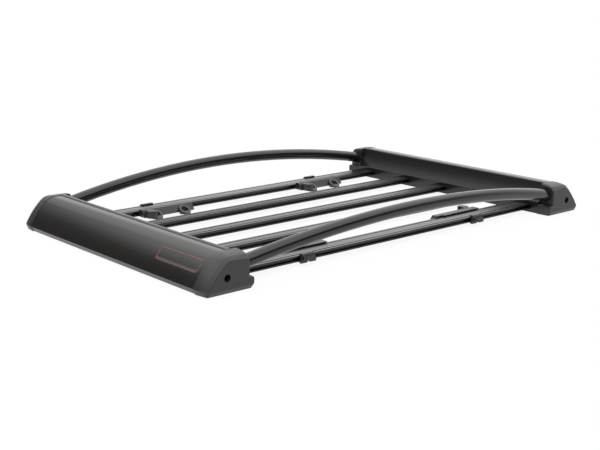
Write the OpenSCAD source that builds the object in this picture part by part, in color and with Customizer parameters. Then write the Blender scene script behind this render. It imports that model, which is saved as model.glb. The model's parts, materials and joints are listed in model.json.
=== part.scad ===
// Flat roof rack: five floor bars between two hollow fairings, with arched
// tube rails down the sides and four clamp brackets that slide on the outer bars.
// X runs across the vehicle, Y along it and Z up. The origin is on the ground
// plane under the middle of the rack.

/* [Overall] */
// Length over the two lower lips
overall_l = 1295; // [1000:5:1700]
// Width over the side faces of the end caps
overall_w = 812; // [700:2:1100]

/* [Fairing] */
// Height of the flat top above the ground plane
fairing_top = 84; // [76:1:100]
// Height of the underside above the ground plane
fairing_base = 1; // [0.5:0.5:3]
// Radius of the bulged nose
nose_r = 185; // [150:1:260]
// Radius that blends the nose into the top
blend_r = 45; // [20:1:55]
// How far the nose overhangs the lower lip
nose_out = 6; // [3:0.5:9]
// Distance from the lip to where nose and top would meet unblended
shoulder_in = 53; // [44:1:60]
// Height of the turned-under lower lip
lip_h = 13; // [9:1:18]
// Distance from the lip to the back of the top bead
bead_back = 97; // [90:1:104]
// Width of the top bead
bead_w = 13; // [8:1:18]
// Height of the bead above the flat top
bead_h = 2; // [0.5:0.1:3]
// Width of the groove in front of the bead
groove_w = 3; // [2:0.5:5]
// Depth of that groove
groove_d = 2; // [1:0.5:2.5]
// Distance from the lip to the back of the lower channel
channel_back = 127; // [118:1:140]
// Height of the lower channel
channel_top = 33; // [31:1:40]
// Step between the rear wall and the lower channel
ledge_w = 8; // [4:1:12]
// Radius of the hollowed rear wall
rear_r = 260; // [90:5:400]
// Wall of the extrusion
fairing_wall = 2.5; // [2:0.5:4]
// Depth of the chamber that takes the bar ends
chamber_d = 64; // [50:1:72]

/* [End caps] */
// Width of one cap along its fairing
cap_w = 44; // [42:1:60]
// How far the cap stands proud of the fairing
cap_proud = 1; // [0.5:0.5:3]
// Inset of the cap's lower edge under its side face
cap_tuck = 6; // [3:0.5:9]
// Distance from the lip to the back of the cap's upper block
cap_back = 114; // [108:1:118]
// Height of the cap's foot
foot_h = 28; // [20:1:32]
// Height of the side face's lower edge
face_low = 8; // [5:0.5:12]
// Height of the side face's top at the front
face_front = 75; // [68:0.5:80]
// Height of the side face's top at the back
face_back = 71; // [64:0.5:78]
// Distance from the lip to where the side face's front edge starts
face_in = 3.7; // [2:0.1:8]
// Distance from the lip to where that edge would meet the top
face_top_in = 59; // [50:1:70]
// Radius of the bulge in that edge
face_r = 200; // [150:10:400]
// Radius of the side face's top front corner
face_top_r = 14; // [8:1:20]
// Radius of its other corners
face_corner_r = 6; // [3:0.5:8]
// Radius of the rounded edge round the side face
face_edge_r = 2.5; // [1:0.5:4]
// Distance of the screw recess from the lip
recess_y = 53; // [46:1:60]
// Height of the screw recess
recess_z = 36; // [30:1:42]
// Diameter of the screw recess
recess_d = 17; // [12:1:20]
// Depth of the screw recess
recess_depth = 30; // [20:1:36]
// Length of the cap's spigot inside the fairing
spigot_l = 14; // [8:1:25]

/* [Side rails] */
// Diameter of the rail tube
rail_d = 32; // [25:1:34]
// Wall of the rail tube
rail_wall = 2; // [1.5:0.5:3]
// Distance of the rail's end from the side face of the cap
rail_in = 26; // [24:1:30]
// Height of the rail's axis where it leaves the cap
rail_z = 55; // [50:1:60]
// Rise of the rail at mid length
rail_rise = 51.5; // [30:0.5:90]
// Outward bow of the rail at mid length
rail_bow = 19; // [0:1:40]
// Length of the straight end inside the cap
rail_stub = 45; // [25:1:60]
// Wall of the collar round the rail's end
collar_wall = 2.5; // [1.5:0.5:3]
// Length of that collar
collar_l = 14; // [8:1:20]
// How far the collar stands out of the cap
collar_out = 5; // [4:0.5:9]

/* [Floor bars] */
// Distance between the middle bars
bar_pitch = 152; // [120:1:200]
// Distance of the outer bars from the side face of the cap
outer_bar_in = 93; // [86:1:110]
// Width of the three middle bars
bar_w = 42; // [34:1:50]
// Width of the two outer bars
outer_bar_w = 50; // [40:1:56]
// Height of a bar
bar_h = 15; // [13:0.5:18]
// Height of a bar's underside
bar_z = 11; // [10:0.5:14]
// Wall of a bar
bar_wall = 2; // [1.5:0.5:2.5]
// Depth of the slot along each side of a bar
slot_d = 8; // [5:0.5:10]
// Height of that slot
slot_h = 8; // [5:0.5:8]
// Height of the slot above the bar's underside
slot_up = 3.5; // [2.5:0.5:5]
// Depth of the two grooves along a bar's top
rib_d = 1.5; // [0.5:0.1:2]
// Width of those grooves
rib_w = 4; // [1:0.5:5]
// Distance of the grooves from the bar's edges
rib_in = 9; // [6:1:11]
// Distance from the lip to a bar's end
bar_end_in = 86; // [80:1:95]

/* [Clamp brackets] */
// Length of a bracket
bracket_l = 163; // [140:1:200]
// Width of a bracket's raised plate beside the bar
plate_w = 16; // [12:1:20]
// Width of a bracket's sloping flank beside the plate
flank_w = 12; // [8:1:16]
// Reach of the plate's lip over the bar
lip_over = 6; // [3:1:8]
// Gap between that lip and the bar
lip_gap = 1.5; // [1:0.25:2]
// Length of the plate's blunt end, which has no lip
blunt_l = 22; // [16:1:30]
// Height of a bracket's top above the bar's top
bracket_up = 4; // [2:0.5:8]
// Distance from the lip to the middle of a front bracket
front_at = 359; // [250:1:500]
// Distance from the lip to the middle of a rear bracket
rear_at = 377; // [250:1:500]
// Distance between the two U-bolt holes of a bracket
leg_pitch = 92; // [70:1:120]
// Diameter of a U-bolt hole
leg_d = 9; // [6:0.5:12]
// Diameter of the boss round that hole
boss_d = 32; // [22:1:36]
// Distance of the holes from the bar's side
boss_in = 34; // [28:1:42]
// Diameter of the washer seat in the boss
seat_d = 20; // [16:1:24]
// Height of that seat above the boss's underside
seat_up = 8; // [5:0.5:9]
// How far the bosses reach below the bracket
boss_drop = 4; // [0:0.5:6]
// Slope of the boss's rim, down and away from the bar
boss_slope = 30; // [15:1:40]
// Height of that rim's middle
boss_mid = 19; // [17:0.5:23]
// Diameter of the round block at one end of the bracket
block_d = 30; // [24:1:34]
// Distance of the block from the plate's end
block_in = 5; // [0:1:12]
// Length of the jaw's foot on the bar's outer side
jaw_l = 46; // [36:1:60]
// Length of the jaw's lip over the bar
jaw_lip_l = 34; // [26:1:44]
// Reach of that lip
jaw_lip = 6; // [3:1:8]
// Thickness of that lip
jaw_lip_t = 3; // [2:0.5:4]
// Thickness of the jaw's foot
jaw_t = 8; // [6:0.5:11]
// Thickness of the tie under the bar, which joins jaw and bracket
tie_t = 2.5; // [2:0.5:4]
// Width of that tie
tie_w = 20; // [14:1:30]
// Diameter of the peg that holds the tie in the bracket
peg_d = 8; // [6:0.5:9]
// Height of that peg
peg_h = 8; // [5:0.5:12]
// Width of the notch in the jaw's foot
notch_w = 10; // [6:1:14]
// Height of that notch
notch_h = 11; // [6:1:14]
// Distance of the jaw's bolt from the notch
bolt_off = 12; // [9:1:15]
// Diameter of that bolt's head
bolt_head_d = 12; // [9:0.5:13]
// Place of a front jaw along its bracket, from the middle
front_jaw = -24; // [-50:1:50]
// Place of a rear jaw along its bracket, from the middle
rear_jaw = 17; // [-50:1:50]

/* [Screws] */
// Diameter of the screws
screw_d = 5; // [4:0.5:6]
// Diameter of the screw heads
head_d = 10; // [8:0.5:12]
// Height of the screw heads
head_h = 3; // [2:0.5:3.5]

/* [Clearances] */
// Gap all round a moving bracket
run_gap = 0.5; // [0.3:0.1:1]
// Gap round a piece that is pushed in
fit_gap = 0.2; // [0.1:0.05:0.5]

/* [Hidden] */
half_l = overall_l / 2;
half_w = overall_w / 2;

// Nose circle through the top of the lip and the unblended shoulder
nose_a = [-nose_out, lip_h];
nose_b = [shoulder_in, fairing_top];
nose_half = norm(nose_b - nose_a) / 2;
nose_dir = (nose_b - nose_a) / (2 * nose_half);
nose_c = (nose_a + nose_b) / 2 + [nose_dir[1], -nose_dir[0]] * sqrt(nose_r ^ 2 - nose_half ^ 2);

// Blend circle tangent to the nose circle and to the flat top
blend_z = fairing_top - blend_r;
blend_y = nose_c[0] - sqrt((nose_r - blend_r) ^ 2 - (blend_z - nose_c[1]) ^ 2);
blend_dir = ([blend_y, blend_z] - nose_c) / (nose_r - blend_r);

// Hollowed rear wall between the bead and the ledge
rear_a = [bead_back, fairing_top - groove_w];
rear_b = [channel_back - ledge_w, channel_top];
rear_half = norm(rear_b - rear_a) / 2;
rear_dir = (rear_b - rear_a) / (2 * rear_half);
rear_c = (rear_a + rear_b) / 2 + [-rear_dir[1], rear_dir[0]] * sqrt(rear_r ^ 2 - rear_half ^ 2);

// Rounded bead
bead_r = (bead_w ^ 2 / 4 + bead_h ^ 2) / (2 * bead_h);

// Bars and their seats
bar_top = bar_z + bar_h;
bar_l = overall_l - 2 * bar_end_in;
outer_x = half_w - outer_bar_in;
chamber_front = channel_back - chamber_d;
bar_screw_y = (bar_end_in + channel_back - fairing_wall) / 2;
web_z = bar_z - fairing_wall;
floor_z = fairing_base + fairing_wall;

// Rail arc in its own tilted plane
rail_c = half_l - cap_back + 2;
rail_sag = norm([rail_rise, rail_bow]);
rail_tilt = atan2(rail_bow, rail_rise);
rail_r = (rail_c ^ 2 + rail_sag ^ 2) / (2 * rail_sag);
rail_half = asin(rail_c / rail_r);
function turn(length) = length / rail_r * 180 / PI;
rail_l = rail_r * rail_half * PI / 90;

// Side face of the cap: a bulged front edge, and circles that round its corners
face_a = [face_in, face_low + face_corner_r];
face_b = [face_top_in, face_front];
face_half = norm(face_b - face_a) / 2;
face_dir = (face_b - face_a) / (2 * face_half);
face_c = (face_a + face_b) / 2 + [face_dir[1], -face_dir[0]] * sqrt(face_r ^ 2 - face_half ^ 2);
face_run = [cap_back, face_back] - face_b;
face_along = face_run / norm(face_run);
face_tip = [
    face_c[0] - sqrt((face_r - face_corner_r) ^ 2 - (face_low + face_corner_r - face_c[1]) ^ 2),
    face_low + face_corner_r
];
face_under = face_b + face_top_r * [face_along[1], -face_along[0]] - face_c;
face_slide = -(face_under * face_along)
    - sqrt((face_under * face_along) ^ 2 - face_under * face_under + (face_r - face_top_r) ^ 2);
face_peak = face_c + face_under + face_slide * face_along;
face_heel = [cap_back - face_corner_r, face_back - face_corner_r];

// Bracket levels
bracket_top = bar_top + bracket_up;
body_z = bar_z - run_gap;
inner = outer_bar_w / 2 + run_gap;
hole_x = outer_bar_w / 2 + boss_in;
boss_z = body_z - boss_drop;
peg_x = inner + plate_w / 2;
jaw_z = body_z - tie_t;
jaw_top = bar_top + run_gap + jaw_lip_t;
jaw_out = inner + jaw_t;
bolt_z = bar_z + slot_up + slot_h / 2;
bolt_tip = outer_bar_w / 2 - slot_d + run_gap;

$fn = 64;

alu = [0.15, 0.15, 0.15];
plastic = [0.24, 0.235, 0.23];
rubber = [0.06, 0.06, 0.06];
steel = [0.5, 0.5, 0.52];

// Placing helpers

// A corner frame: x in from the side face, y in from the lip, z up
module corner(right, rear) {
    mirror([right ? 1 : 0, 0, 0])
        mirror([0, rear ? 1 : 0, 0])
            translate([-half_w, -half_l, 0])
                children();
}

// Extrudes a section drawn in y and z along x
module along_x(length) {
    rotate([90, 0, 90])
        linear_extrude(height = length)
            children();
}

// Extrudes a section drawn in x and z along y, about the middle
module along_y(length) {
    rotate([90, 0, 0])
        linear_extrude(height = length, center = true)
            children();
}

function bar_x(i) = i == 1 ? -outer_x : i == 5 ? outer_x : (i - 3) * bar_pitch;
function bar_width(i) = i == 1 || i == 5 ? outer_bar_w : bar_w;

// Fairing section

// Everything behind the nose and under the top, inset by t
module nose_area(t, back) {
    blend_top = blend_z + (blend_r - t) * blend_dir[1];
    low = fairing_base + t;
    intersection() {
        translate(nose_c)
            circle(r = nose_r - t, $fn = 180);
        translate([-3 * nose_out, low])
            square([back + 3 * nose_out, blend_top - low]);
    }
    intersection() {
        translate([blend_y, blend_z])
            circle(r = blend_r - t, $fn = 96);
        translate([0, blend_z])
            square(back);
    }
    translate([blend_y, low])
        square([back - blend_y, fairing_top - t - low]);
}

// Removes what lies under the turned-under lip, inset by t
module lip_cut(t) {
    polygon([
        [t, fairing_base - 20],
        [t, fairing_base + t],
        [-nose_out + t, lip_h],
        [-4 * nose_out, lip_h],
        [-4 * nose_out, fairing_base - 20]
    ]);
}

// Solid outline of the fairing
module fairing_outline() {
    difference() {
        union() {
            nose_area(0, bead_back);
            intersection() {
                translate([bead_back - bead_w / 2, fairing_top + bead_h - bead_r])
                    circle(r = bead_r, $fn = 96);
                translate([bead_back - bead_w, fairing_top - bead_h])
                    square([bead_w, 2 * bead_h]);
            }
            polygon([
                [bead_back - bead_w, fairing_base],
                [channel_back - ledge_w, fairing_base],
                rear_b,
                rear_a,
                [bead_back - bead_w, rear_a[1]]
            ]);
            translate([chamber_front, fairing_base])
                square([chamber_d, channel_top - fairing_base]);
        }
        lip_cut(0);
        translate([bead_back - bead_w - groove_w, fairing_top - groove_d])
            square([groove_w, 2 * groove_d]);
        intersection() {
            translate(rear_c)
                circle(r = rear_r, $fn = 180);
            translate([bead_back, channel_top])
                square([channel_back, rear_a[1] - channel_top]);
        }
    }
}

// Main chamber behind the nose
module main_chamber() {
    difference() {
        intersection() {
            nose_area(fairing_wall, channel_back);
            translate([-nose_out, floor_z])
                square([bead_back - fairing_wall + nose_out, fairing_top - groove_d - fairing_wall - floor_z]);
        }
        lip_cut(fairing_wall);
        translate([chamber_front - fairing_wall, 0])
            square([channel_back, channel_top]);
        translate(rear_c)
            circle(r = rear_r + fairing_wall, $fn = 180);
        translate([recess_y, recess_z])
            circle(d = screw_d + 2 * fairing_wall);
        translate([recess_y - fairing_wall / 2, floor_z - 1])
            square([fairing_wall, recess_z - floor_z]);
    }
}

module fairing_section() {
    difference() {
        fairing_outline();
        main_chamber();
        translate([chamber_front, bar_z])
            square([chamber_d - fairing_wall, channel_top - fairing_wall - bar_z]);
        translate([chamber_front, floor_z])
            square([chamber_d - fairing_wall, web_z - floor_z]);
        translate([recess_y, recess_z])
            circle(d = screw_d + 2 * fit_gap);
    }
}

module fairing() {
    color(alu)
        difference() {
            translate([cap_w, 0, 0])
                along_x(overall_w - 2 * cap_w)
                    fairing_section();
            for (i = [1:5])
                translate([half_w + bar_x(i), 0, 0]) {
                    translate([-bar_width(i) / 2 - fit_gap, channel_back - 2 * fairing_wall, bar_z])
                        cube([bar_width(i) + 2 * fit_gap, 3 * fairing_wall, bar_h + fit_gap]);
                    translate([0, bar_screw_y, web_z - 1])
                        cylinder(d = screw_d + 2 * fit_gap, h = fairing_wall + 2);
                    translate([0, bar_screw_y, fairing_base - 1])
                        cylinder(d = head_d + 2 * fairing_wall, h = fairing_wall + 2);
                }
        }
}

// End caps

// Points along a circle from one angle to another
function arc(centre, r, from, to, n) =
    [for (i = [0:n]) let (t = from + (to - from) * i / n) centre + r * [cos(t), sin(t)]];
function heading(v) = atan2(v[1], v[0]);

// Outline of the side face, inset by t
function face_points(t) = concat(
    arc(face_tip, face_corner_r - t, 270, heading(face_tip - face_c), 6),
    arc(face_c, face_r - t, heading(face_tip - face_c), heading(face_peak - face_c), 8),
    arc(face_peak, face_top_r - t, heading(face_peak - face_c), heading(face_along) + 90, 6),
    arc(face_heel, face_corner_r - t, heading(face_along) + 90, 0, 4),
    [[cap_back - t, face_low + t]]
);

// Outline of the foot's side, inset by t
function foot_points(t) = concat(
    [[chamber_front, foot_h - t]],
    arc([channel_back, foot_h] - face_corner_r * [1, 1], face_corner_r - t, 90, 0, 4),
    arc([channel_back - face_corner_r, face_low + face_corner_r], face_corner_r - t, 0, -90, 4),
    [[chamber_front, face_low + t]]
);

// Outline next to the fairing, with as many points as the side face has
function seam_points() = let (
        lip = [-nose_out - cap_proud, lip_h],
        foot = [-cap_proud, 0],
        blend = [blend_y, blend_z],
        back = [cap_back - face_corner_r, fairing_top + cap_proud - face_corner_r]
    ) concat(
        [for (i = [0:6]) foot + (lip - foot) * i / 6],
        arc(nose_c, nose_r + cap_proud, heading(lip - nose_c), heading(blend - nose_c), 8),
        arc(blend, blend_r + cap_proud, heading(blend - nose_c), 90, 6),
        arc(back, face_corner_r, 90, 0, 4),
        [[cap_back, 0]]
    );

// Outline between the two, where t runs from 0 at the side face to 1 at the seam
function between_points(t) =
    let (face = face_points(0), seam = seam_points())
        [for (i = [0:len(face) - 1]) face[i] + t * (seam[i] - face[i])];

// A thin slice of the cap with the given outline, at a distance from the side face
module slice(x, points) {
    translate([x, 0, 0])
        along_x(0.1)
            polygon(points);
}

// The face's underside where it meets the ground plane, between two distances
// from the lip, its corners rounded by r
module sole(from, to, r) {
    for (y = [from + r, to - r])
        translate([cap_tuck + r, y, 0])
            cylinder(r = r, h = 0.1, $fn = 32);
}

// The side face's rounded edge is a quarter circle, drawn as slices
module cap_blank() {
    hull() {
        for (a = [0:30:90])
            slice(face_edge_r * (1 - cos(a)), face_points(face_edge_r * (1 - sin(a))));
        // Domed band, a quarter ellipse from the side face to the seam
        for (a = [37, 57, 74, 90])
            slice(cap_w * (1 - cos(a)) - 0.1, between_points(sin(a)));
        sole(face_edge_r, cap_back, face_corner_r);
    }
    hull() {
        for (a = [0:30:90])
            slice(face_edge_r * (1 - cos(a)), foot_points(face_edge_r * (1 - sin(a))));
        sole(chamber_front, channel_back - face_edge_r, face_corner_r);
        translate([cap_w - 1, chamber_front, 0])
            cube([1, channel_back - chamber_front, foot_h]);
    }
}

module cap() {
    color(plastic)
        difference() {
            union() {
                cap_blank();
                translate([cap_w - 1, 0, 0])
                    along_x(spigot_l + 1)
                        cap_spigot();
            }
            translate([-1, recess_y, recess_z])
                rotate([0, 90, 0])
                    cylinder(d = recess_d, h = recess_depth + 1);
            translate([0, recess_y, recess_z])
                rotate([0, 90, 0])
                    cylinder(d = screw_d + 2 * fit_gap, h = 2 * cap_w);
            rail_sweep(rail_d + 2 * fit_gap, -rail_stub - fit_gap, cap_back);
            rail_sweep(rail_d + 2 * collar_wall + 2 * fit_gap, collar_out - collar_l - fit_gap, cap_back);
        }
}

// Spigot that pushes into the main chamber, between the nose and the screw port
module cap_spigot() {
    translate([cap_tuck + 2 * fairing_wall, floor_z + fit_gap])
        square([recess_y - head_d - cap_tuck - 2 * fairing_wall, recess_z - floor_z]);
}

// Round bar of diameter d along the rail's arc, from one distance to another
// along it. Both count from the face of the front cap, negative into the cap.
module rail_sweep(d, from, to) {
    translate([rail_in, half_l, rail_z])
        rotate([0, -rail_tilt, 0])
            translate([0, 0, rail_sag - rail_r])
                rotate([90, 0, 90])
                    rotate_extrude(angle = turn(to - from), start = 90 + rail_half - turn(to), $fn = 300)
                        translate([rail_r, 0])
                            circle(d = d, $fn = 48);
}

module rail() {
    color(alu)
        difference() {
            rail_sweep(rail_d, -rail_stub, rail_l + rail_stub);
            rail_sweep(rail_d - 2 * rail_wall, -rail_stub - 1, rail_l + rail_stub + 1);
        }
}

module collar() {
    color(rubber)
        difference() {
            rail_sweep(rail_d + 2 * collar_wall, collar_out - collar_l, collar_out);
            rail_sweep(rail_d + 2 * fit_gap, -collar_l, collar_l);
        }
}

module cap_screw() {
    color(steel)
        translate([recess_depth, recess_y, recess_z])
            rotate([0, 90, 0]) {
                translate([0, 0, -head_h])
                    cylinder(d = head_d, h = head_h);
                cylinder(d = screw_d, h = cap_w - recess_depth + 20);
            }
}

// Floor bars

module bar_section(w) {
    difference() {
        translate([-w / 2, bar_z])
            square([w, bar_h]);
        for (s = [-1, 1]) {
            translate([s * (w / 2 - slot_d / 2 + 0.5), bar_z + slot_up + slot_h / 2])
                square([slot_d + 1, slot_h], center = true);
            translate([s * (w / 2 - rib_in), bar_top])
                square([rib_w, 2 * rib_d], center = true);
        }
        translate([-w / 2 + slot_d + bar_wall, bar_z + bar_wall])
            square([w - 2 * slot_d - 2 * bar_wall, bar_h - 2 * bar_wall - rib_d]);
    }
}

module bar(i) {
    color(alu)
        difference() {
            translate([bar_x(i), 0, 0])
                along_y(bar_l)
                    bar_section(bar_width(i));
            for (s = [-1, 1])
                translate([bar_x(i), s * (half_l - bar_screw_y), bar_z - 1])
                    cylinder(d = screw_d + 2 * fit_gap, h = bar_wall + 2);
        }
}

module bar_screw(i, rear) {
    color(steel)
        translate([bar_x(i), (rear ? 1 : -1) * (half_l - bar_screw_y), web_z]) {
            translate([0, 0, -head_h])
                cylinder(d = head_d, h = head_h);
            cylinder(d = screw_d, h = fairing_wall + bar_wall + 5);
        }
}

// Clamp brackets, drawn at the left outer bar with x from its axis

module at_bracket(right, rear) {
    mirror([right ? 1 : 0, 0, 0])
        translate([-outer_x, rear ? half_l - rear_at : front_at - half_l, 0])
            children();
}

// block_end is -1 for a round block at the front end and 1 for one at the rear
module bracket(jaw_at, block_end) {
    body_h = bracket_top - body_z;
    color(plastic)
        difference() {
            union() {
                // Raised plate with a sloping flank
                along_y(bracket_l)
                    polygon([
                        [inner, body_z],
                        [inner, bracket_top],
                        [inner + plate_w, bracket_top],
                        [inner + plate_w + flank_w, body_z]
                    ]);
                // Bosses, cut off along their sloping rims
                difference() {
                    at_holes()
                        translate([0, 0, boss_z])
                            cylinder(d = boss_d, h = bracket_top - boss_z);
                    translate([hole_x, 0, boss_mid])
                        rotate([0, boss_slope, 0])
                            translate([-boss_d, -bracket_l / 2, 0])
                                cube([2 * boss_d, bracket_l, 2 * boss_d]);
                }
                translate([hole_x, block_end * (bracket_l / 2 - block_in - block_d / 2), body_z])
                    cylinder(d = block_d, h = body_h);
                // Lip over the bar and tongue in the bar's slot
                translate([inner - lip_over, -bracket_l / 2 + blunt_l, bar_top + lip_gap])
                    cube([lip_over + 1, bracket_l - blunt_l, bracket_up - lip_gap]);
                translate([inner - slot_d + run_gap, -bracket_l / 2, bar_z + slot_up + run_gap])
                    cube([slot_d, bracket_l, slot_h - 2 * run_gap]);
            }
            at_holes()
                translate([0, 0, boss_z - 1])
                    cylinder(d = leg_d, h = bracket_top - boss_z);
            at_holes()
                translate([0, 0, boss_z + seat_up])
                    cylinder(d = seat_d, h = body_h);
            translate([peg_x, jaw_at + notch_w / 2 + tie_w / 2, body_z - 1])
                cylinder(d = peg_d + 2 * fit_gap, h = peg_h + 1 + fit_gap);
        }
}

module at_jaw(jaw_at) {
    translate([0, jaw_at, 0])
        children();
}

module at_holes() {
    for (s = [-1, 1])
        translate([hole_x, s * leg_pitch / 2, 0])
            children();
}

// Side view of the jaw: narrow over the bar, wider at the foot, with a notch
module jaw_front() {
    difference() {
        polygon([
            [-jaw_l / 2, jaw_z],
            [-jaw_l / 2, body_z + jaw_lip_t],
            [-jaw_lip_l / 2, jaw_top],
            [jaw_lip_l / 2, jaw_top],
            [jaw_l / 2, body_z + jaw_lip_t],
            [jaw_l / 2, jaw_z]
        ]);
        polygon([[-notch_w / 2, jaw_z - 1], [0, jaw_z + notch_h], [notch_w / 2, jaw_z - 1]]);
    }
}

// Section of the jaw across the bar: foot, rounded shoulder and lip
module jaw_section() {
    translate([-jaw_out, jaw_z])
        square([jaw_t, jaw_top - jaw_t - jaw_z]);
    intersection() {
        translate([-inner, jaw_top - jaw_t])
            circle(r = jaw_t);
        translate([-jaw_out, jaw_top - jaw_t])
            square(jaw_t);
    }
    translate([-inner - jaw_t / 2, jaw_top - jaw_lip_t])
        square([jaw_t / 2 + jaw_lip, jaw_lip_t]);
}

module jaw() {
    color(plastic)
        difference() {
            union() {
                intersection() {
                    along_y(jaw_l)
                        jaw_section();
                    translate([-2 * inner, 0, 0])
                        along_x(2 * inner)
                            jaw_front();
                }
                // Tie under the bar, with the peg that enters the bracket
                translate([-inner - jaw_t / 2, notch_w / 2, jaw_z])
                    cube([peg_x + peg_d + inner + jaw_t / 2, tie_w, tie_t]);
                translate([peg_x, notch_w / 2 + tie_w / 2, jaw_z])
                    cylinder(d = peg_d, h = tie_t + peg_h);
            }
            translate([-jaw_out - 1, -bolt_off, bolt_z])
                rotate([0, 90, 0])
                    cylinder(d = screw_d + 2 * fit_gap, h = jaw_t + 2);
        }
}

module jaw_bolt() {
    color(steel)
        translate([-jaw_out - head_h, -bolt_off, bolt_z])
            rotate([0, 90, 0]) {
                cylinder(d = bolt_head_d, h = head_h);
                cylinder(d = screw_d, h = head_h + jaw_out - bolt_tip);
            }
}

// Named pieces

module front_fairing() { corner(false, false) fairing(); }
module rear_fairing() { corner(false, true) fairing(); }
module cap_front_left() { corner(false, false) cap(); }
module cap_front_right() { corner(true, false) cap(); }
module cap_rear_left() { corner(false, true) cap(); }
module cap_rear_right() { corner(true, true) cap(); }
module cap_screw_front_left() { corner(false, false) cap_screw(); }
module cap_screw_front_right() { corner(true, false) cap_screw(); }
module cap_screw_rear_left() { corner(false, true) cap_screw(); }
module cap_screw_rear_right() { corner(true, true) cap_screw(); }
module rail_left() { corner(false, false) rail(); }
module rail_right() { corner(true, false) rail(); }
module collar_front_left() { corner(false, false) collar(); }
module collar_front_right() { corner(true, false) collar(); }
module collar_rear_left() { corner(false, true) collar(); }
module collar_rear_right() { corner(true, true) collar(); }
module bar_1() { bar(1); }
module bar_2() { bar(2); }
module bar_3() { bar(3); }
module bar_4() { bar(4); }
module bar_5() { bar(5); }
module bar_screw_front_1() { bar_screw(1, false); }
module bar_screw_front_2() { bar_screw(2, false); }
module bar_screw_front_3() { bar_screw(3, false); }
module bar_screw_front_4() { bar_screw(4, false); }
module bar_screw_front_5() { bar_screw(5, false); }
module bar_screw_rear_1() { bar_screw(1, true); }
module bar_screw_rear_2() { bar_screw(2, true); }
module bar_screw_rear_3() { bar_screw(3, true); }
module bar_screw_rear_4() { bar_screw(4, true); }
module bar_screw_rear_5() { bar_screw(5, true); }
module bracket_front_left() { at_bracket(false, false) bracket(front_jaw, -1); }
module bracket_front_right() { at_bracket(true, false) bracket(front_jaw, 1); }
module bracket_rear_left() { at_bracket(false, true) bracket(rear_jaw, -1); }
module bracket_rear_right() { at_bracket(true, true) bracket(rear_jaw, 1); }
module jaw_front_left() { at_bracket(false, false) at_jaw(front_jaw) jaw(); }
module jaw_front_right() { at_bracket(true, false) at_jaw(front_jaw) jaw(); }
module jaw_rear_left() { at_bracket(false, true) at_jaw(rear_jaw) jaw(); }
module jaw_rear_right() { at_bracket(true, true) at_jaw(rear_jaw) jaw(); }
module jaw_bolt_front_left() { at_bracket(false, false) at_jaw(front_jaw) jaw_bolt(); }
module jaw_bolt_front_right() { at_bracket(true, false) at_jaw(front_jaw) jaw_bolt(); }
module jaw_bolt_rear_left() { at_bracket(false, true) at_jaw(rear_jaw) jaw_bolt(); }
module jaw_bolt_rear_right() { at_bracket(true, true) at_jaw(rear_jaw) jaw_bolt(); }

front_fairing();
rear_fairing();
cap_front_left();
cap_front_right();
cap_rear_left();
cap_rear_right();
cap_screw_front_left();
cap_screw_front_right();
cap_screw_rear_left();
cap_screw_rear_right();
rail_left();
rail_right();
collar_front_left();
collar_front_right();
collar_rear_left();
collar_rear_right();
bar_1();
bar_2();
bar_3();
bar_4();
bar_5();
bar_screw_front_1();
bar_screw_front_2();
bar_screw_front_3();
bar_screw_front_4();
bar_screw_front_5();
bar_screw_rear_1();
bar_screw_rear_2();
bar_screw_rear_3();
bar_screw_rear_4();
bar_screw_rear_5();
bracket_front_left();
bracket_front_right();
bracket_rear_left();
bracket_rear_right();
jaw_front_left();
jaw_front_right();
jaw_rear_left();
jaw_rear_right();
jaw_bolt_front_left();
jaw_bolt_front_right();
jaw_bolt_rear_left();
jaw_bolt_rear_right();
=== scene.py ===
"""Looks of an open roof rack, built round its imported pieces.

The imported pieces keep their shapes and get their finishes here. The small pieces that only show, which
are the screw drives and the bare plate on the front fairing, are added. Every length is in metres.
"""

import json
import logging
import math
from dataclasses import dataclass
from typing import Any

import bmesh
import bpy
from mathutils import Matrix, Vector


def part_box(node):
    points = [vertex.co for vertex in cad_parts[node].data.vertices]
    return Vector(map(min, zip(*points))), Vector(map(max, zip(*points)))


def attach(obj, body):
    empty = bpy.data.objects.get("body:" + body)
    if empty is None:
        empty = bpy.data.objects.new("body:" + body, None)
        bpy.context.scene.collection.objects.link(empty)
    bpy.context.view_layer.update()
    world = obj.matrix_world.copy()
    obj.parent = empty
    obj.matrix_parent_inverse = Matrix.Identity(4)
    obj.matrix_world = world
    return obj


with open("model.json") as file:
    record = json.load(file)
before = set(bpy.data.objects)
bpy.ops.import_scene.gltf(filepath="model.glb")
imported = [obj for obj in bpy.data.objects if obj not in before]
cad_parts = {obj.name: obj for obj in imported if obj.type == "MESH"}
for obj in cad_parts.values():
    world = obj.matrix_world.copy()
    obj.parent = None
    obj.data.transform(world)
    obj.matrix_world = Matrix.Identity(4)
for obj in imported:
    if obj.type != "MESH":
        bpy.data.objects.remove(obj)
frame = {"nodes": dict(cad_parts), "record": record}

LOG = logging.getLogger("roof_rack")
MM = 0.001
ROOT_BODY = "frame"


def linear(hex_colour: str) -> tuple[float, float, float, float]:
    """Turns an sRGB hex colour to linear light.

    Args:
        hex_colour: The colour, such as "#1e1e1f".

    Returns:
        Red, green, blue and an alpha of 1.
    """
    parts = [int(hex_colour[i:i + 2], 16) / 255 for i in (1, 3, 5)]
    light = [p / 12.92 if p <= 0.04045 else ((p + 0.055) / 1.055) ** 2.4 for p in parts]
    return (light[0], light[1], light[2], 1.0)


def add_node(tree: bpy.types.NodeTree, kind: str, settings: dict[str, Any],
             inputs: dict[Any, Any]) -> bpy.types.Node:
    """Adds a node with its settings, values and links.

    Args:
        tree: The tree that takes the node.
        kind: The node's type name.
        settings: Attributes to set on the node.
        inputs: For each input's name or number, a value, or the output socket that feeds it.

    Returns:
        The new node.
    """
    node = tree.nodes.new(kind)
    for name, value in settings.items():
        setattr(node, name, value)
    for name, value in inputs.items():
        if isinstance(value, bpy.types.NodeSocket):
            tree.links.new(value, node.inputs[name])
        else:
            node.inputs[name].default_value = value
    return node


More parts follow.
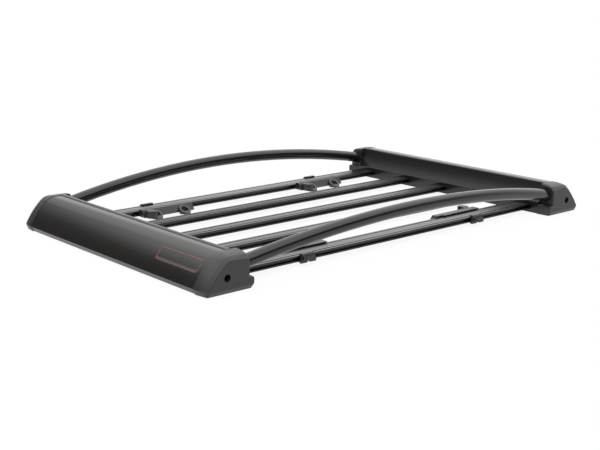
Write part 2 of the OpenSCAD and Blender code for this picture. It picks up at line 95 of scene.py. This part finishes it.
def new_material(name: str) -> tuple[bpy.types.Material, bpy.types.NodeTree]:
    """Makes an empty node material.

    Args:
        name: The material's name.

    Returns:
        The material and its emptied node tree.
    """
    material = bpy.data.materials.new(name)
    material.use_nodes = True
    material.node_tree.nodes.clear()
    return material, material.node_tree


@dataclass(frozen=True)
class Finish:
    """A satin or matt finish with a fine relief and a slight change of shade.

    colour and shade are its lighter and darker tones, roughness and roughness_spread its gloss, ior its
    index of refraction. grain is the spacing of the relief and relief its height, edge the radius that
    rounds sharp edges, and cloud the size of the patches where the shade changes.
    """

    name: str
    colour: str
    shade: str
    roughness: float
    roughness_spread: float
    ior: float
    grain: float
    relief: float
    edge: float
    cloud: float = 0.09
    metallic: float = 0.0

    def material(self) -> bpy.types.Material:
        """Builds the node material of this finish."""
        material, tree = new_material(self.name)
        place = add_node(tree, "ShaderNodeTexCoord", {}, {}).outputs["Object"]
        patches = add_node(tree, "ShaderNodeTexNoise", {}, {"Vector": place, "Scale": 1 / self.cloud, "Detail": 3.0})
        tone = add_node(tree, "ShaderNodeMix", {"data_type": "RGBA"}, {
            "Factor": patches.outputs["Fac"], 6: linear(self.shade), 7: linear(self.colour)})
        grain = add_node(tree, "ShaderNodeTexNoise", {}, {
            "Vector": place, "Scale": 1 / self.grain, "Detail": 2.0, "Roughness": 0.6})
        gloss = add_node(tree, "ShaderNodeMapRange", {}, {
            "Value": grain.outputs["Fac"],
            "To Min": self.roughness - self.roughness_spread, "To Max": self.roughness + self.roughness_spread})
        edge = add_node(tree, "ShaderNodeBevel", {"samples": 4}, {"Radius": self.edge})
        bump = add_node(tree, "ShaderNodeBump", {}, {
            "Height": grain.outputs["Fac"], "Distance": self.relief, "Strength": 1.0, "Normal": edge.outputs["Normal"]})
        shader = add_node(tree, "ShaderNodeBsdfPrincipled", {}, {
            "Base Color": tone.outputs[2], "Roughness": gloss.outputs["Result"], "IOR": self.ior,
            "Metallic": self.metallic, "Normal": bump.outputs["Normal"]})
        add_node(tree, "ShaderNodeOutputMaterial", {}, {"Surface": shader.outputs["BSDF"]})
        return material


# Polyester powder coat on extruded aluminium: satin black with the faint ripple of a baked powder
POWDER_COAT = Finish("satin_powder_coat", "#22201f", "#1e1d1c", 0.24, 0.03, 1.5, 2.2 * MM, 0.008 * MM, 0.7 * MM)
# The same coat on drawn tube, which bakes a little smoother and shinier
TUBE_COAT = Finish("tube_powder_coat", "#1d1c1c", "#191818", 0.14, 0.02, 1.5, 2.6 * MM, 0.004 * MM, 0.5 * MM)
# Glass-filled nylon moulded in a spark-eroded tool: dark grey, matt, with a fine leathery grain
MOULDED_NYLON = Finish("moulded_nylon", "#2a2827", "#262524", 0.40, 0.05, 1.53, 1.6 * MM, 0.02 * MM, 1.2 * MM)
# The same nylon on the clamps, blacker and with sharper edges
CLAMP_NYLON = Finish("clamp_nylon", "#2b2a2a", "#252424", 0.36, 0.05, 1.53, 1.4 * MM, 0.02 * MM, 0.9 * MM)
# EPDM rubber: dead black with a dry bloom
RUBBER = Finish("epdm_rubber", "#141414", "#101010", 0.75, 0.05, 1.52, 1.8 * MM, 0.04 * MM, 0.6 * MM)
# Screws with a black zinc plating: dark metal with a soft shine
BLACK_ZINC = Finish("black_zinc", "#4a4a4c", "#3e3e40", 0.34, 0.05, 1.5, 1.0 * MM, 0.006 * MM, 0.3 * MM, metallic=1.0)
# The bare badge plate: satin lacquer on a flat aluminium blank
PLATE_LACQUER = Finish("plate_lacquer", "#3a3939", "#333232", 0.33, 0.02, 1.5, 3.0 * MM, 0.004 * MM, 0.2 * MM)
# Its border line: dull red enamel
PLATE_BORDER = Finish("plate_border_enamel", "#8a5a58", "#7c4e4d", 0.40, 0.03, 1.5, 3.0 * MM, 0.004 * MM, 0.2 * MM)

# The finish of each material slot in the record
SLOT_FINISH = {
    "fairing": POWDER_COAT,
    "bar": POWDER_COAT,
    "rail": TUBE_COAT,
    "cap": MOULDED_NYLON,
    "collar": RUBBER,
    "bracket": CLAMP_NYLON,
    "jaw": CLAMP_NYLON,
    "screw": BLACK_ZINC,
}


class Finishes:
    """Keeps one material for each finish and dresses pieces with it."""

    def __init__(self) -> None:
        """Starts with no materials made."""
        self.made: dict[str, bpy.types.Material] = {}

    def get(self, finish: Finish) -> bpy.types.Material:
        """Returns the material of a finish, made on first use."""
        if finish.name not in self.made:
            self.made[finish.name] = finish.material()
        return self.made[finish.name]

    def dress(self, piece: bpy.types.Object, finish: Finish) -> None:
        """Puts a finish on every slot of a piece.

        Args:
            piece: The object to dress.
            finish: The finish that it gets.
        """
        if not piece.material_slots:
            piece.data.materials.append(None)
        for place in piece.material_slots:
            place.material = self.get(finish)

    def dress_frame(self) -> None:
        """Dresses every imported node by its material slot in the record."""
        for part in frame["record"]["subparts"]:
            self.dress(frame["nodes"][part["node"]], SLOT_FINISH[part["material_slot"]])
            LOG.info("dressed %s", part["node"])


def mesh_piece(name: str, shape: bmesh.types.BMesh) -> bpy.types.Object:
    """Makes an object from a finished shape and frees the shape.

    Args:
        name: The piece's name.
        shape: The shape, in the frame of the part.

    Returns:
        The new object, at the origin.
    """
    mesh = bpy.data.meshes.new(name)
    shape.to_mesh(mesh)
    shape.free()
    piece = bpy.data.objects.new(name, mesh)
    bpy.context.scene.collection.objects.link(piece)
    return piece


@dataclass
class BadgePlate:
    """The bare plate on the front fairing's nose, with a raised border line.

    nose_y and nose_z are the nose circle's centre and nose_r its radius. middle_x is the plate's middle
    across the rack, and middle_turn the angle of its middle above level ahead.
    """

    nose_r: float = 185 * MM
    nose_in: float = 161.3 * MM
    nose_z: float = -66.0 * MM
    middle_x: float = 271 * MM
    middle_turn: float = math.radians(41.1)
    length: float = 160 * MM
    height: float = 35 * MM
    corner_r: float = 6 * MM
    proud: float = 0.5 * MM
    border_in: float = 1.6 * MM
    border_w: float = 1.4 * MM
    border_proud: float = 0.3 * MM

    def on_nose(self, along: float, up: float, out: float) -> Vector:
        """Returns the point that lies on the nose at a place of the plate.

        Args:
            along: Distance from the plate's middle across the rack.
            up: Distance from the plate's middle up round the nose.
            out: Distance out of the nose.
        """
        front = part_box("front_fairing")[0][1] + 6 * MM
        turn = self.middle_turn + up / self.nose_r
        reach = self.nose_r + out
        y = front + self.nose_in - reach * math.cos(turn)
        return Vector((self.middle_x + along, y, self.nose_z + reach * math.sin(turn)))

    def outline(self, inset: float, steps: int = 6) -> list[tuple[float, float]]:
        """Returns the rounded outline of the plate, set in by inset."""
        radius = max(self.corner_r - inset, 0.4 * MM)
        half = (self.length / 2 - inset - radius, self.height / 2 - inset - radius)
        points = []
        for quarter, (sx, sy) in enumerate(((1, 1), (-1, 1), (-1, -1), (1, -1))):
            for step in range(steps + 1):
                turn = math.pi / 2 * (quarter + step / steps)
                points.append((sx * half[0] + radius * math.cos(turn), sy * half[1] + radius * math.sin(turn)))
        return points

    def ring(self, shape: bmesh.types.BMesh, inset: float, out: float) -> list[bmesh.types.BMVert]:
        """Adds a ring of points along the inset outline at a height over the nose."""
        return [shape.verts.new(self.on_nose(x, y, out)) for x, y in self.outline(inset)]

    @staticmethod
    def bridge(shape: bmesh.types.BMesh, one: list[bmesh.types.BMVert], two: list[bmesh.types.BMVert]) -> None:
        """Joins two rings of the same number of points with faces."""
        for i, vert in enumerate(one):
            j = (i + 1) % len(one)
            shape.faces.new((vert, one[j], two[j], two[i]))

    @staticmethod
    def cover(shape: bmesh.types.BMesh, rim: list[bmesh.types.BMVert]) -> None:
        """Closes a ring with rows of faces that follow the nose.

        Args:
            shape: The shape that holds the ring.
            rim: The ring's points.
        """
        count = len(rim)
        half = count // 2
        rows = [(rim[i], rim[count - 1 - i]) for i in range(half)]
        for (top_a, low_a), (top_b, low_b) in zip(rows, rows[1:]):
            shape.faces.new((top_a, top_b, low_b, low_a))

    def build(self, finishes: Finishes) -> None:
        """Builds the plate and its border and puts them on the fairing."""
        plate = bmesh.new()
        rings = [self.ring(plate, 0, -1 * MM), self.ring(plate, 0, self.proud * 0.6), self.ring(plate, 0.4 * MM, self.proud)]
        for one, two in zip(rings, rings[1:]):
            self.bridge(plate, one, two)
        self.cover(plate, rings[-1])
        self.cover(plate, rings[0])
        bmesh.ops.recalc_face_normals(plate, faces=plate.faces)
        self.place(mesh_piece("badge_plate", plate), PLATE_LACQUER, finishes)

        border = bmesh.new()
        inner = self.border_in + self.border_w
        top = self.proud + self.border_proud
        rings = [self.ring(border, self.border_in, self.proud - 0.2 * MM), self.ring(border, self.border_in, top),
                 self.ring(border, inner, top), self.ring(border, inner, self.proud - 0.2 * MM)]
        for one, two in zip(rings, rings[1:] + rings[:1]):
            self.bridge(border, one, two)
        bmesh.ops.recalc_face_normals(border, faces=border.faces)
        self.place(mesh_piece("badge_border", border), PLATE_BORDER, finishes)

    @staticmethod
    def place(piece: bpy.types.Object, finish: Finish, finishes: Finishes) -> None:
        """Dresses a piece of the plate and lets it ride on the frame."""
        finishes.dress(piece, finish)
        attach(piece, ROOT_BODY)
        LOG.info("built %s", piece.name)


@dataclass
class ScrewDrives:
    """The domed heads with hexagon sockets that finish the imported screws.

    head_r is the radius under the dome, top_r at its top, dome its height. socket is the width across the
    hexagon's corners, socket_deep its depth and socket_sunk the share of that depth by which the cutter's
    middle lies under the dome's top.
    """

    head_r: float = 5.0 * MM
    top_r: float = 3.6 * MM
    dome: float = 1.2 * MM
    socket: float = 4.6 * MM
    socket_deep: float = 1.1 * MM
    socket_sunk: float = 0.45
    sides: int = 24

    def tree(self) -> bpy.types.NodeTree:
        """Builds the tree that puts one head on each point, turned along the point's facing."""
        tree = bpy.data.node_groups.new("screw_heads", "GeometryNodeTree")
        face = tree.interface
        face.new_socket("Geometry", in_out="INPUT", socket_type="NodeSocketGeometry")
        for label, value in (("Head Radius", self.head_r), ("Top Radius", self.top_r), ("Dome", self.dome),
                             ("Socket Radius", self.socket / 2), ("Socket Depth", self.socket_deep)):
            face.new_socket(label, in_out="INPUT", socket_type="NodeSocketFloat").default_value = value
        face.new_socket("Finish", in_out="INPUT", socket_type="NodeSocketMaterial")
        face.new_socket("Geometry", in_out="OUTPUT", socket_type="NodeSocketGeometry")
        given = add_node(tree, "NodeGroupInput", {}, {}).outputs
        head = add_node(tree, "GeometryNodeMeshCone", {}, {
            "Vertices": self.sides, "Radius Bottom": given["Head Radius"],
            "Radius Top": given["Top Radius"], "Depth": given["Dome"]})
        socket = add_node(tree, "GeometryNodeMeshCylinder", {}, {
            "Vertices": 6, "Radius": given["Socket Radius"], "Depth": given["Socket Depth"]})
        lift = add_node(tree, "ShaderNodeMath", {"operation": "SUBTRACT"}, {
            0: given["Dome"], 1: add_node(tree, "ShaderNodeMath", {"operation": "MULTIPLY"}, {
                0: given["Socket Depth"], 1: self.socket_sunk}).outputs[0]})
        offset = add_node(tree, "ShaderNodeCombineXYZ", {}, {"Z": lift.outputs[0]})
        sunk = add_node(tree, "GeometryNodeTransform", {}, {
            "Geometry": socket.outputs["Mesh"], "Translation": offset.outputs["Vector"]})
        cut = add_node(tree, "GeometryNodeMeshBoolean", {"operation": "DIFFERENCE"}, {
            "Mesh 1": head.outputs["Mesh"], "Mesh 2": sunk.outputs["Geometry"]})
        facing = add_node(tree, "GeometryNodeInputNamedAttribute", {"data_type": "FLOAT_VECTOR"}, {"Name": "facing"})
        turned = add_node(tree, "FunctionNodeAlignRotationToVector", {"axis": "Z"}, {
            "Vector": facing.outputs["Attribute"]})
        placed = add_node(tree, "GeometryNodeInstanceOnPoints", {}, {
            "Points": given["Geometry"], "Instance": cut.outputs["Mesh"], "Rotation": turned.outputs["Rotation"]})
        real = add_node(tree, "GeometryNodeRealizeInstances", {}, {"Geometry": placed.outputs["Instances"]})
        coated = add_node(tree, "GeometryNodeSetMaterial", {}, {
            "Geometry": real.outputs["Geometry"], "Material": given["Finish"]})
        add_node(tree, "NodeGroupOutput", {}, {"Geometry": coated.outputs["Geometry"]})
        return tree

    def build(self, finishes: Finishes) -> None:
        """Builds the heads of each body's screws as one piece."""
        tree = self.tree()
        for body, nodes in frame["record"]["behaviour"]["bodies"].items():
            seats = [self.seat(node) for node in nodes if "screw" in node or "bolt" in node]
            if seats:
                self.heads(f"screw_heads_{body}", body, seats, tree, finishes)

    @staticmethod
    def seat(node: str) -> tuple[Vector, Vector]:
        """Returns the middle of a packed screw head's face and the way that it faces."""
        low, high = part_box(node)
        middle = (low + high) / 2
        if node.startswith(("cap_screw", "jaw_bolt")):
            outward = math.copysign(1, middle.x)
            edge = high.x if outward > 0 else low.x
            return Vector((edge, middle.y, middle.z)), Vector((outward, 0, 0))
        return Vector((middle.x, middle.y, low.z)), Vector((0, 0, -1))

    def heads(self, name: str, body: str, seats: list[tuple[Vector, Vector]], tree: bpy.types.NodeTree,
              finishes: Finishes) -> None:
        """Makes one piece of screw heads.

        Args:
            name: The piece's name.
            body: The body that it rides on.
            seats: Each head's place and facing.
            tree: The tree that makes the heads.
            finishes: The materials.
        """
        points = bpy.data.meshes.new(name + "_points")
        points.from_pydata([place for place, _ in seats], [], [])
        facing = points.attributes.new("facing", "FLOAT_VECTOR", "POINT")
        for i, (_, way) in enumerate(seats):
            facing.data[i].vector = way
        maker = bpy.data.objects.new(name + "_maker", points)
        bpy.context.scene.collection.objects.link(maker)
        modifier = maker.modifiers.new("heads", "NODES")
        modifier.node_group = tree
        for item in tree.interface.items_tree:
            if item.in_out == "INPUT" and item.name == "Finish":
                modifier[item.identifier] = finishes.get(BLACK_ZINC)
        shown = maker.evaluated_get(bpy.context.evaluated_depsgraph_get())
        mesh = bpy.data.meshes.new_from_object(shown)
        maker.modifiers.clear()
        bpy.data.objects.remove(maker)
        piece = bpy.data.objects.new(name, mesh)
        bpy.context.scene.collection.objects.link(piece)
        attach(piece, body)
        LOG.info("built %s with %d heads", name, len(seats))


@dataclass
class Studio:
    """The pale floor, the soft light and the camera.

    floor_r is the floor's radius and floor_glow the share of it that shows as plain white. camera_at and
    camera_turn place the camera, and lens is its focal length on a 36 mm wide sensor. ceiling is the light's level overhead, which starts at the height ceiling_from
    over the horizon and is whole at ceiling_full. back is its level behind the rack, as far as back_half
    to each side of the way ahead, and dark the level round the rest of the horizon, from back_edge on.
    """

    floor_r: float = 45.0
    floor_glow: float = 0.92
    camera_at: tuple[float, float, float] = (2.232, -1.966, 0.715)
    camera_turn: tuple[float, float, float] = (math.radians(76.155), math.radians(-0.16), math.radians(49.27))
    lens: float = 67.0
    ceiling: float = 1.9
    ceiling_from: float = math.radians(23)
    ceiling_full: float = math.radians(37)
    ahead: tuple[float, float, float] = (-0.423, 0.906, 0.0)
    back: float = 1.4
    back_half: float = math.radians(15)
    back_edge: float = math.radians(80)
    dark: float = 0.06

    def camera(self) -> None:
        """Places the camera where the photograph was taken from."""
        data = bpy.data.cameras.new("camera")
        data.lens = self.lens
        data.sensor_width = 36.0
        data.clip_end = 200.0
        camera = bpy.data.objects.new("camera", data)
        camera.location = self.camera_at
        camera.rotation_euler = self.camera_turn
        bpy.context.scene.collection.objects.link(camera)
        bpy.context.scene.camera = camera

    def floor(self) -> None:
        """Lays the pale floor, which the lens and the reflections see as a white studio."""
        shape = bmesh.new()
        bmesh.ops.create_circle(shape, cap_ends=True, segments=96, radius=self.floor_r)
        floor = mesh_piece("studio_floor", shape)
        material, tree = new_material("studio_floor_paint")
        paint = add_node(tree, "ShaderNodeBsdfDiffuse", {}, {"Color": linear("#e6e6e6")})
        glow = add_node(tree, "ShaderNodeEmission", {}, {"Color": linear("#ffffff"), "Strength": 1.0})
        ray = add_node(tree, "ShaderNodeLightPath", {}, {})
        seen = add_node(tree, "ShaderNodeMath", {"operation": "MAXIMUM"}, {
            0: ray.outputs["Is Camera Ray"], 1: add_node(tree, "ShaderNodeMath", {"operation": "MAXIMUM"}, {
                0: ray.outputs["Is Glossy Ray"], 1: ray.outputs["Is Transmission Ray"]}).outputs[0]})
        share = add_node(tree, "ShaderNodeMath", {"operation": "MULTIPLY"}, {0: seen.outputs[0], 1: self.floor_glow})
        both = add_node(tree, "ShaderNodeMixShader", {}, {
            "Fac": share.outputs[0], 1: paint.outputs["BSDF"], 2: glow.outputs["Emission"]})
        add_node(tree, "ShaderNodeOutputMaterial", {}, {"Surface": both.outputs["Shader"]})
        floor.data.materials.append(material)

    def sky(self) -> None:
        """Lights the scene from all round, bright overhead and behind and dim in front."""
        world = bpy.data.worlds.new("studio_light")
        bpy.context.scene.world = world
        world.use_nodes = True
        tree = world.node_tree
        tree.nodes.clear()
        way = add_node(tree, "ShaderNodeTexCoord", {}, {}).outputs["Generated"]
        parts = add_node(tree, "ShaderNodeSeparateXYZ", {}, {"Vector": way})
        over = add_node(tree, "ShaderNodeMapRange", {"interpolation_type": "SMOOTHSTEP"}, {
            "Value": parts.outputs["Z"], "From Min": math.sin(self.ceiling_from), "From Max": math.sin(self.ceiling_full),
            "To Min": 0.0, "To Max": self.ceiling})
        behind = add_node(tree, "ShaderNodeVectorMath", {"operation": "DOT_PRODUCT"}, {0: way, 1: self.ahead})
        back = add_node(tree, "ShaderNodeMapRange", {"interpolation_type": "SMOOTHSTEP"}, {
            "Value": behind.outputs["Value"], "From Min": math.cos(self.back_edge), "From Max": math.cos(self.back_half),
            "To Min": self.dark, "To Max": self.back})
        light = add_node(tree, "ShaderNodeMath", {"operation": "MAXIMUM"}, {
            0: over.outputs["Result"], 1: back.outputs["Result"]})
        both = add_node(tree, "ShaderNodeBackground", {}, {"Color": linear("#ffffff"), "Strength": light.outputs[0]})
        add_node(tree, "ShaderNodeOutputWorld", {}, {"Surface": both.outputs["Background"]})

    def build(self) -> None:
        """Sets up camera, floor and light."""
        self.camera()
        self.floor()
        self.sky()
        bpy.context.scene.view_settings.view_transform = "Standard"
        LOG.info("studio ready")


def main() -> None:
    """Builds the looks in order."""
    logging.basicConfig(level=logging.INFO, format="%(name)s: %(message)s")
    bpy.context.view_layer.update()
    Studio().build()
    finishes = Finishes()
    finishes.dress_frame()
    BadgePlate().build(finishes)
    ScrewDrives().build(finishes)


if __name__ == "__main__":
    main()
